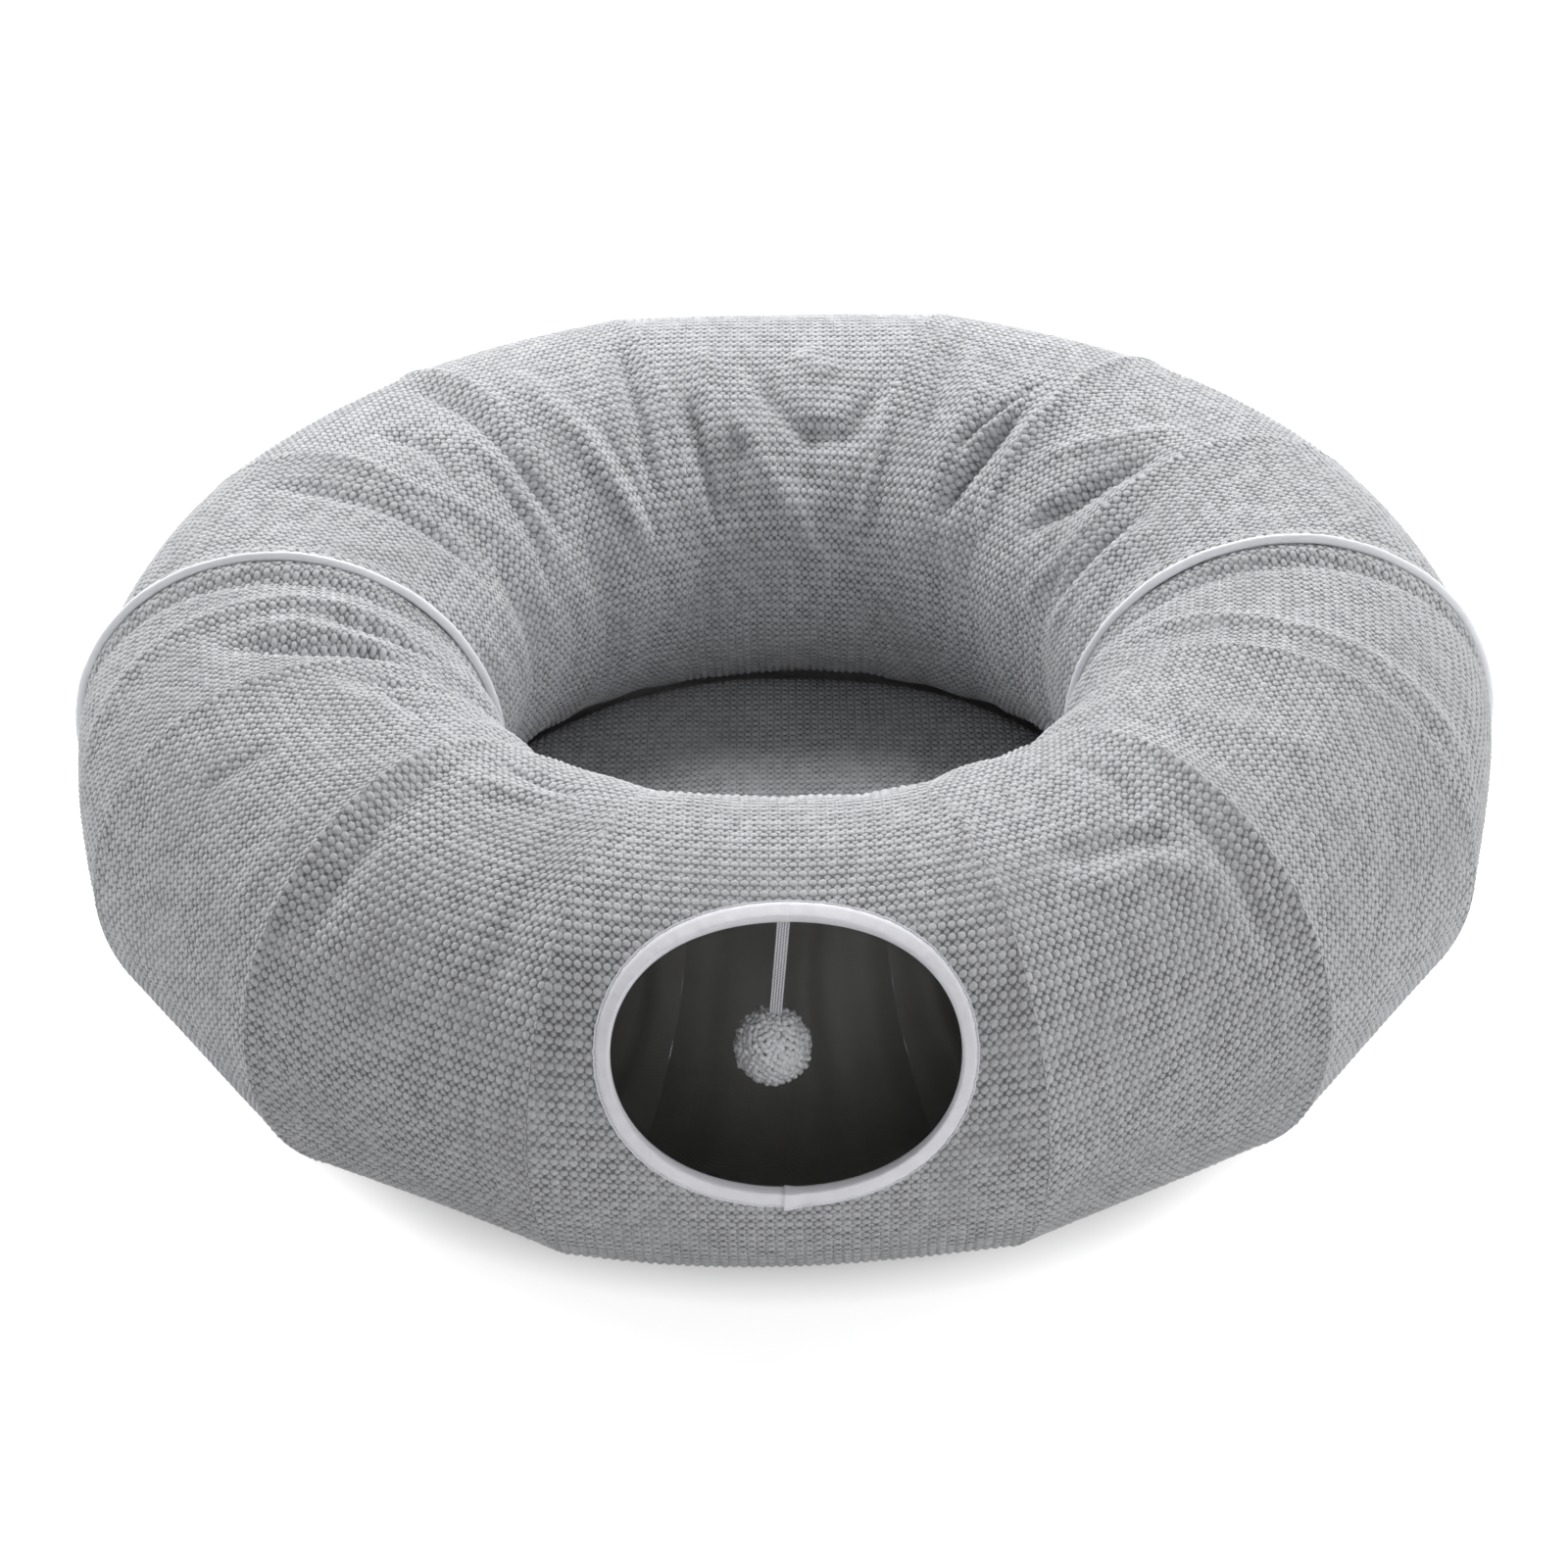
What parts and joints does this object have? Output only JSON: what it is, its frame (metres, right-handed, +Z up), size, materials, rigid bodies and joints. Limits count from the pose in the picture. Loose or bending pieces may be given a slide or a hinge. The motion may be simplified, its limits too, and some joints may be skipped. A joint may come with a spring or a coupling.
{
  "type": "donut cat tunnel",
  "caption": "Ring-shaped fabric cat tunnel over spring wire hoops, in zipped halves, with bound portholes, a hanging pompom and a round mat in the middle.",
  "frame": {"origin": "on the floor under the middle of the ring", "axes": "+Z up, -Y towards the front porthole with the pompom, +X to the right seen from the front"},
  "size_m": [1.006, 0.9716, 0.298],
  "materials": {
    "cover_cloth": "light grey bobble chenille cloth, matte and soft",
    "lining_cloth": "smooth dark grey woven polyester lining",
    "hoop_wire": "round spring steel wire",
    "piping_satin": "white satin over a cord, soft sheen",
    "binding_tape": "white cotton bias tape, matte",
    "zip_tape": "grey woven zip tape with a nylon coil",
    "zip_metal": "die cast metal, satin",
    "elastic_tape": "flat woven elastic, ribbed",
    "pompom_yarn": "grey cut chenille yarn",
    "mat_filling": "loose polyester wadding",
    "mat_base_cloth": "dark non-slip base cloth"
  },
  "bodies": {
    "root": {"hoop_front_1": "hoop_wire", "hoop_rear_1": "hoop_wire", "cover_front_1": "cover_cloth", "cover_rear_1": "cover_cloth", "lining_front_1": "lining_cloth", "lining_rear_1": "lining_cloth", "piping_left": "piping_satin", "zip_left": "zip_tape"},
    "front_hoop_2": {"hoop_front_2": "hoop_wire", "cover_front_2": "cover_cloth", "lining_front_2": "lining_cloth"},
    "front_hoop_3": {"hoop_front_3": "hoop_wire", "cover_front_3": "cover_cloth", "lining_front_3": "lining_cloth"},
    "front_hoop_4": {"hoop_front_4": "hoop_wire"},
    "front_porthole": {"cover_front_4_porthole": "cover_cloth", "lining_front_4_porthole": "lining_cloth", "binding_front": "binding_tape"},
    "front_hoop_5": {"hoop_front_5": "hoop_wire", "cover_front_5": "cover_cloth", "lining_front_5": "lining_cloth"},
    "front_hoop_6": {"hoop_front_6": "hoop_wire", "cover_front_6": "cover_cloth", "lining_front_6": "lining_cloth"},
    "front_hoop_7": {"hoop_front_7": "hoop_wire", "cover_front_7": "cover_cloth", "lining_front_7": "lining_cloth"},
    "rear_hoop_2": {"hoop_rear_2": "hoop_wire", "cover_rear_2": "cover_cloth", "lining_rear_2": "lining_cloth"},
    "rear_hoop_3": {"hoop_rear_3": "hoop_wire", "cover_rear_3": "cover_cloth", "lining_rear_3": "lining_cloth"},
    "rear_hoop_4": {"hoop_rear_4": "hoop_wire"},
    "rear_porthole": {"cover_rear_4_porthole": "cover_cloth", "lining_rear_4_porthole": "lining_cloth", "binding_rear": "binding_tape"},
    "rear_hoop_5": {"hoop_rear_5": "hoop_wire", "cover_rear_5": "cover_cloth", "lining_rear_5": "lining_cloth"},
    "rear_hoop_6": {"hoop_rear_6": "hoop_wire", "cover_rear_6": "cover_cloth", "lining_rear_6": "lining_cloth"},
    "rear_hoop_7": {"hoop_rear_7": "hoop_wire", "cover_rear_7": "cover_cloth", "lining_rear_7": "lining_cloth"},
    "front_hoop_8": {"hoop_front_8": "hoop_wire", "piping_right": "piping_satin", "zip_right_front": "zip_tape"},
    "rear_hoop_8": {"hoop_rear_8": "hoop_wire", "zip_right_rear": "zip_tape"},
    "slider_left": {"slider_left": "zip_metal"},
    "slider_right": {"slider_right": "zip_metal"},
    "tab_left": {"pull_tab_left": "zip_metal"},
    "tab_right": {"pull_tab_right": "zip_metal"},
    "elastic": {"elastic_strap": "elastic_tape"},
    "pompom": {"pompom": "pompom_yarn"},
    "mat": {"mat_cover": "cover_cloth", "mat_filling": "mat_filling", "mat_base": "mat_base_cloth"}
  },
  "joints": [
    {"name": "front_fold_1", "type": "hinge", "parent": "root", "child": "front_hoop_2", "pos_m": [0, 0, 0], "axis": [0, 0, -1], "range_deg": [0, 17], "deforming": ["cover_front_1", "lining_front_1"]},
    {"name": "front_fold_2", "type": "hinge", "parent": "front_hoop_2", "child": "front_hoop_3", "pos_m": [0, 0, 0], "axis": [0, 0, -1], "range_deg": [0, 22.1], "deforming": ["cover_front_2", "lining_front_2"]},
    {"name": "front_fold_3", "type": "hinge", "parent": "front_hoop_3", "child": "front_hoop_4", "pos_m": [0, 0, 0], "axis": [0, 0, -1], "range_deg": [0, 22.1], "deforming": ["cover_front_3", "lining_front_3"]},
    {"name": "front_fold_4", "type": "hinge", "parent": "front_hoop_4", "child": "front_porthole", "pos_m": [0, 0, 0], "axis": [0, 0, -1], "range_deg": [0, 17.1], "deforming": ["cover_front_4_porthole", "lining_front_4_porthole", "binding_front"]},
    {"name": "front_fold_5", "type": "hinge", "parent": "front_porthole", "child": "front_hoop_5", "pos_m": [0, 0, 0], "axis": [0, 0, -1], "range_deg": [0, 17.1]},
    {"name": "front_fold_6", "type": "hinge", "parent": "front_hoop_5", "child": "front_hoop_6", "pos_m": [0, 0, 0], "axis": [0, 0, -1], "range_deg": [0, 22.1], "deforming": ["cover_front_5", "lining_front_5"]},
    {"name": "front_fold_7", "type": "hinge", "parent": "front_hoop_6", "child": "front_hoop_7", "pos_m": [0, 0, 0], "axis": [0, 0, -1], "range_deg": [0, 22.1], "deforming": ["cover_front_6", "lining_front_6"]},
    {"name": "front_fold_8", "type": "hinge", "parent": "front_hoop_7", "child": "front_hoop_8", "pos_m": [0, 0, 0], "axis": [0, 0, -1], "range_deg": [0, 17.1], "deforming": ["cover_front_7", "lining_front_7"]},
    {"name": "rear_fold_1", "type": "hinge", "parent": "root", "child": "rear_hoop_2", "pos_m": [0, 0, 0], "axis": [0, 0, 1], "range_deg": [0, 17], "deforming": ["cover_rear_1", "lining_rear_1"]},
    {"name": "rear_fold_2", "type": "hinge", "parent": "rear_hoop_2", "child": "rear_hoop_3", "pos_m": [0, 0, 0], "axis": [0, 0, 1], "range_deg": [0, 22.1], "deforming": ["cover_rear_2", "lining_rear_2"]},
    {"name": "rear_fold_3", "type": "hinge", "parent": "rear_hoop_3", "child": "rear_hoop_4", "pos_m": [0, 0, 0], "axis": [0, 0, 1], "range_deg": [0, 22.1], "deforming": ["cover_rear_3", "lining_rear_3"]},
    {"name": "rear_fold_4", "type": "hinge", "parent": "rear_hoop_4", "child": "rear_porthole", "pos_m": [0, 0, 0], "axis": [0, 0, 1], "range_deg": [0, 17.1], "deforming": ["cover_rear_4_porthole", "lining_rear_4_porthole", "binding_rear"]},
    {"name": "rear_fold_5", "type": "hinge", "parent": "rear_porthole", "child": "rear_hoop_5", "pos_m": [0, 0, 0], "axis": [0, 0, 1], "range_deg": [0, 17.1]},
    {"name": "rear_fold_6", "type": "hinge", "parent": "rear_hoop_5", "child": "rear_hoop_6", "pos_m": [0, 0, 0], "axis": [0, 0, 1], "range_deg": [0, 22.1], "deforming": ["cover_rear_5", "lining_rear_5"]},
    {"name": "rear_fold_7", "type": "hinge", "parent": "rear_hoop_6", "child": "rear_hoop_7", "pos_m": [0, 0, 0], "axis": [0, 0, 1], "range_deg": [0, 22.1], "deforming": ["cover_rear_6", "lining_rear_6"]},
    {"name": "rear_fold_8", "type": "hinge", "parent": "rear_hoop_7", "child": "rear_hoop_8", "pos_m": [0, 0, 0], "axis": [0, 0, 1], "range_deg": [0, 17.1], "deforming": ["cover_rear_7", "lining_rear_7"]},
    {"name": "slider_left_travel", "type": "hinge", "parent": "root", "child": "slider_left", "pos_m": [-0.3525, 0, 0.1475], "axis": [0, -1, 0], "range_deg": [0, 314]},
    {"name": "tab_left_turn", "type": "hinge", "parent": "slider_left", "child": "tab_left", "pos_m": [-0.29655, 0, 0.02184], "axis": [0, -1, 0], "range_deg": [0, 178]},
    {"name": "slider_right_travel", "type": "hinge", "parent": "front_hoop_8", "child": "slider_right", "pos_m": [0.3525, 0, 0.1475], "axis": [0, 1, 0], "range_deg": [0, 314]},
    {"name": "tab_right_turn", "type": "hinge", "parent": "slider_right", "child": "tab_right", "pos_m": [0.29655, 0, 0.02184], "axis": [0, 1, 0], "range_deg": [0, 178]},
    {"name": "elastic_swing", "type": "hinge", "parent": "front_porthole", "child": "elastic", "pos_m": [0, -0.39289, 0.27049], "axis": [0, 1, 0], "range_deg": [-40, 40]},
    {"name": "pompom_swing", "type": "hinge", "parent": "elastic", "child": "pompom", "pos_m": [-0.00645, -0.39289, 0.19677], "axis": [1, 0, 0], "range_deg": [-45, 45]},
    {"name": "mat_lift", "type": "slide", "parent": "root", "child": "mat", "axis": [0, 0, 1], "range_m": [0, 0.4], "deforming": ["mat_cover", "mat_filling", "mat_base"]}
  ],
  "couplings": [
    {"joint": "front_fold_2", "follows": "front_fold_1", "ratio": 1.2941},
    {"joint": "front_fold_3", "follows": "front_fold_1", "ratio": 1.2941},
    {"joint": "front_fold_4", "follows": "front_fold_1", "ratio": 1},
    {"joint": "front_fold_5", "follows": "front_fold_1", "ratio": 1},
    {"joint": "front_fold_6", "follows": "front_fold_1", "ratio": 1.2941},
    {"joint": "front_fold_7", "follows": "front_fold_1", "ratio": 1.2941},
    {"joint": "front_fold_8", "follows": "front_fold_1", "ratio": 1},
    {"joint": "rear_fold_2", "follows": "rear_fold_1", "ratio": 1.2941},
    {"joint": "rear_fold_3", "follows": "rear_fold_1", "ratio": 1.2941},
    {"joint": "rear_fold_4", "follows": "rear_fold_1", "ratio": 1},
    {"joint": "rear_fold_5", "follows": "rear_fold_1", "ratio": 1},
    {"joint": "rear_fold_6", "follows": "rear_fold_1", "ratio": 1.2941},
    {"joint": "rear_fold_7", "follows": "rear_fold_1", "ratio": 1.2941},
    {"joint": "rear_fold_8", "follows": "rear_fold_1", "ratio": 1}
  ]
}
